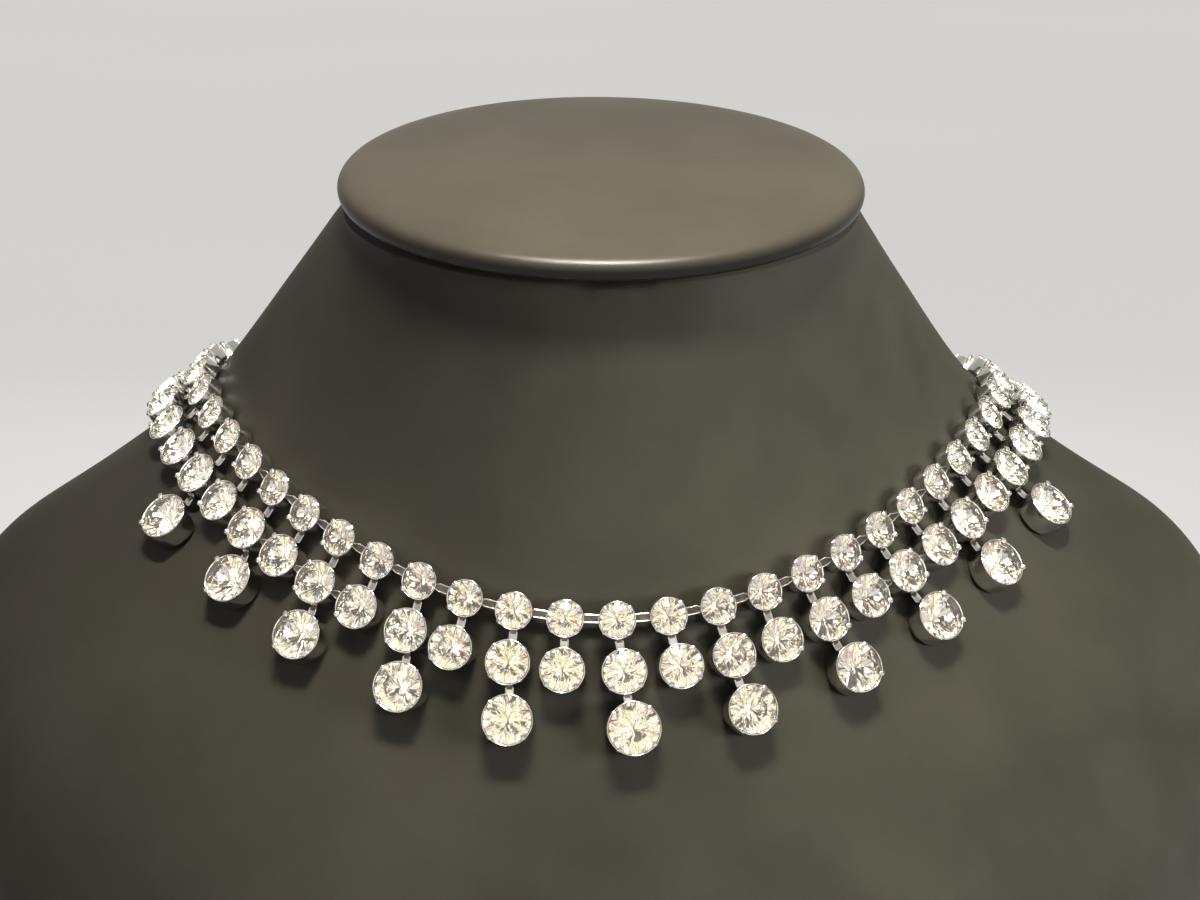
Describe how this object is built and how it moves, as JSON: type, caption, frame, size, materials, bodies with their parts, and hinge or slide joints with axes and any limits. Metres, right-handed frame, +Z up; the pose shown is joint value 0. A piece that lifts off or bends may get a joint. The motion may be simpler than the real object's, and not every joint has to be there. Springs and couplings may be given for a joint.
{
  "type": "rhinestone necklace on a neck bust",
  "caption": "Rhinestone collar necklace with rows of round cup-set stones and larger drops below them, lying on a plain dark neck bust with an oval top plate.",
  "frame": {"origin": "middle of the bust's flat underside", "axes": "+Z up, +X to the right as seen from the front, the front of the neck faces -Y"},
  "size_m": [0.2256, 0.1314, 0.1783],
  "materials": {
    "metal": "polished plating",
    "stone": "cut and foiled at the back",
    "bust": "satin",
    "cap": "satin"
  },
  "bodies": {
    "root": {"neck_bust": "bust", "neck_cap": "cap", "clasp": "metal", "first_row_settings": "metal", "first_row_stones": "stone", "second_row_settings": "metal", "second_row_stones": "stone", "short_drop_setting_1": "metal", "short_drop_setting_2": "metal", "short_drop_setting_3": "metal", "short_drop_setting_4": "metal", "short_drop_setting_5": "metal", "short_drop_setting_6": "metal", "short_drop_setting_7": "metal", "short_drop_setting_8": "metal", "short_drop_setting_9": "metal", "short_drop_stone_1": "stone", "short_drop_stone_2": "stone", "short_drop_stone_3": "stone", "short_drop_stone_4": "stone", "short_drop_stone_5": "stone", "short_drop_stone_6": "stone", "short_drop_stone_7": "stone", "short_drop_stone_8": "stone", "short_drop_stone_9": "stone", "drop_setting_1": "metal", "drop_setting_2": "metal", "drop_setting_3": "metal", "drop_setting_4": "metal", "drop_setting_5": "metal", "drop_setting_6": "metal", "drop_setting_7": "metal", "drop_setting_8": "metal", "drop_setting_9": "metal", "drop_setting_10": "metal", "drop_setting_11": "metal", "drop_stone_1": "stone", "drop_stone_2": "stone", "drop_stone_3": "stone", "drop_stone_4": "stone", "drop_stone_5": "stone", "drop_stone_6": "stone", "drop_stone_7": "stone", "drop_stone_8": "stone", "drop_stone_9": "stone", "drop_stone_10": "stone", "drop_stone_11": "stone"}
  },
  "joints": []
}
